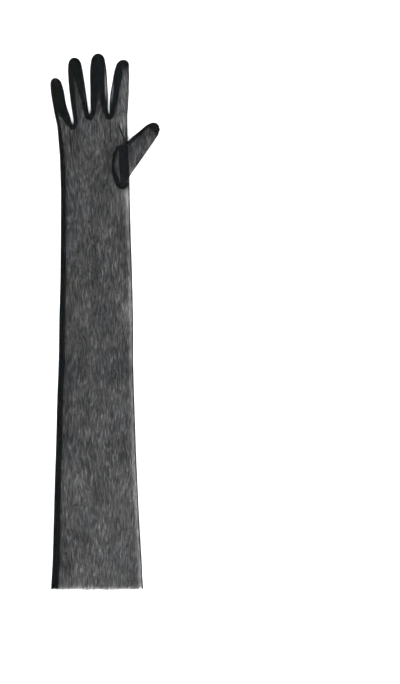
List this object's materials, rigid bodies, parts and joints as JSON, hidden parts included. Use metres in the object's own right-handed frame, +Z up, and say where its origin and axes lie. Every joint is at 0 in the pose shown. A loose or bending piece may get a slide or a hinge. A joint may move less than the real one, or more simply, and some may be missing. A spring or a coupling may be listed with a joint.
{
  "type": "sheer glove",
  "caption": "Long sheer mesh glove for the right hand, lying flat with its palm up, with folded strips between the fingers and a set-in thumb.",
  "frame": {"origin": "middle of the footprint, on the surface the glove lies on", "axes": "+Y from the cuff towards the fingertips, +Z up out of the palm, +X towards the thumb"},
  "size_m": [0.1318, 0.643, 0.0158],
  "materials": {
    "mesh": "sheer black stretch mesh",
    "strip": "folded black stretch mesh",
    "seam": "turned seam in black mesh"
  },
  "bodies": {
    "root": {"back_side": "mesh", "arm_front": "mesh", "palm_front": "mesh", "little_front": "mesh", "ring_front": "mesh", "middle_front": "mesh", "index_front": "mesh", "thumb_side_fold": "mesh", "thumb_base": "mesh", "thumb": "mesh", "fourchette_little_ring": "strip", "fourchette_ring_middle": "strip", "fourchette_middle_index": "strip", "side_seam": "seam", "little_finger_seam": "seam", "thumb_edge_seam": "seam", "thumb_welt": "seam", "little_tip_seam": "seam", "ring_tip_seam": "seam", "middle_tip_seam": "seam", "index_tip_seam": "seam"}
  },
  "joints": []
}
